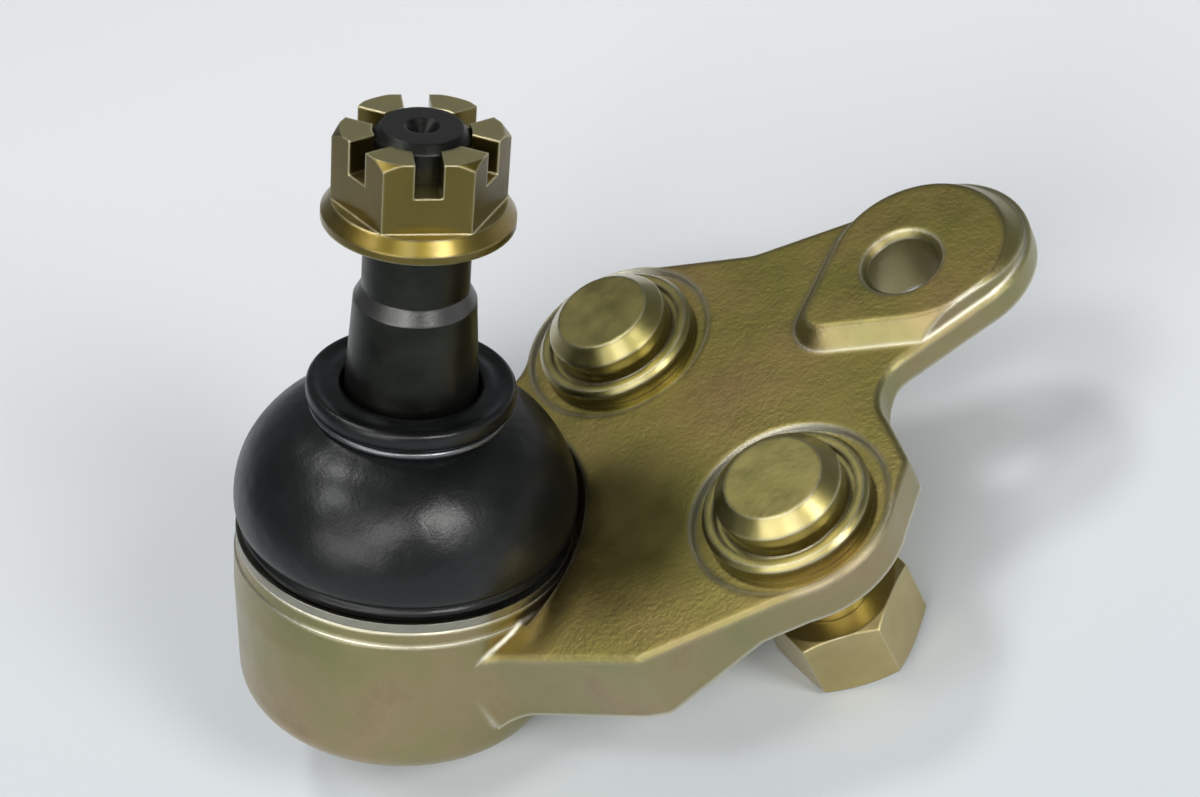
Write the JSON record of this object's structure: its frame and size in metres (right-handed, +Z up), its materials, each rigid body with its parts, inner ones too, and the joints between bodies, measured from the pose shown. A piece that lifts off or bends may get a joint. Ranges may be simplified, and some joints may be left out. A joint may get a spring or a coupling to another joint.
{
  "type": "suspension ball joint",
  "caption": "Suspension ball joint: forged housing and slanted mounting plate with press-in studs, an eared bolt hole, a booted ball stud and a castle nut.",
  "frame": {"origin": "on the floor, at the centre of the bounding box, with the part at rest on the edge of its housing and its two stud nuts", "axes": "+Z up from the floor, +X towards the eared bolt hole, +Y from the front mounting stud to the rear one; the ball stud leans towards +X"},
  "size_m": [0.1408, 0.0832, 0.1029],
  "materials": {
    "zinc_forging": "yellow zinc plating, satin",
    "zinc_nut": "yellow zinc plating, bright",
    "phosphate_steel": "black phosphate with a thin oil film",
    "rubber": "moulded, satin",
    "resin": "natural acetal",
    "steel": "pressed steel, bright yellow plating",
    "spring_steel": "blued spring steel"
  },
  "bodies": {
    "housing": {"housing_forging": "zinc_forging", "upper_bearing_seat": "resin", "preload_spring": "spring_steel", "closing_ring": "steel", "boot_base_ring": "steel", "front_mounting_stud": "zinc_nut", "rear_mounting_stud": "zinc_nut", "front_stud_nut": "zinc_nut", "rear_stud_nut": "zinc_nut"},
    "tilt_bearing": {"lower_bearing_seat": "resin"},
    "boot_neck": {"boot_neck_ring": "spring_steel", "dust_boot": "rubber"},
    "stud": {"ball_stud": "phosphate_steel", "castle_nut": "zinc_nut"}
  },
  "joints": [
    {"name": "tilt_direction", "type": "hinge", "parent": "housing", "child": "tilt_bearing", "pos_m": [-0.04047, 0.0144, 0.02754], "axis": [0.4173, 0, 0.9088], "continuous": true},
    {"name": "stud_tilt", "type": "hinge", "parent": "tilt_bearing", "child": "boot_neck", "pos_m": [-0.04047, 0.0144, 0.02754], "axis": [0, 1, 0], "range_deg": [-20, 20], "deforming": ["dust_boot"]},
    {"name": "stud_spin", "type": "hinge", "parent": "boot_neck", "child": "stud", "pos_m": [-0.04047, 0.0144, 0.02754], "axis": [0.4173, 0, 0.9088], "continuous": true}
  ]
}
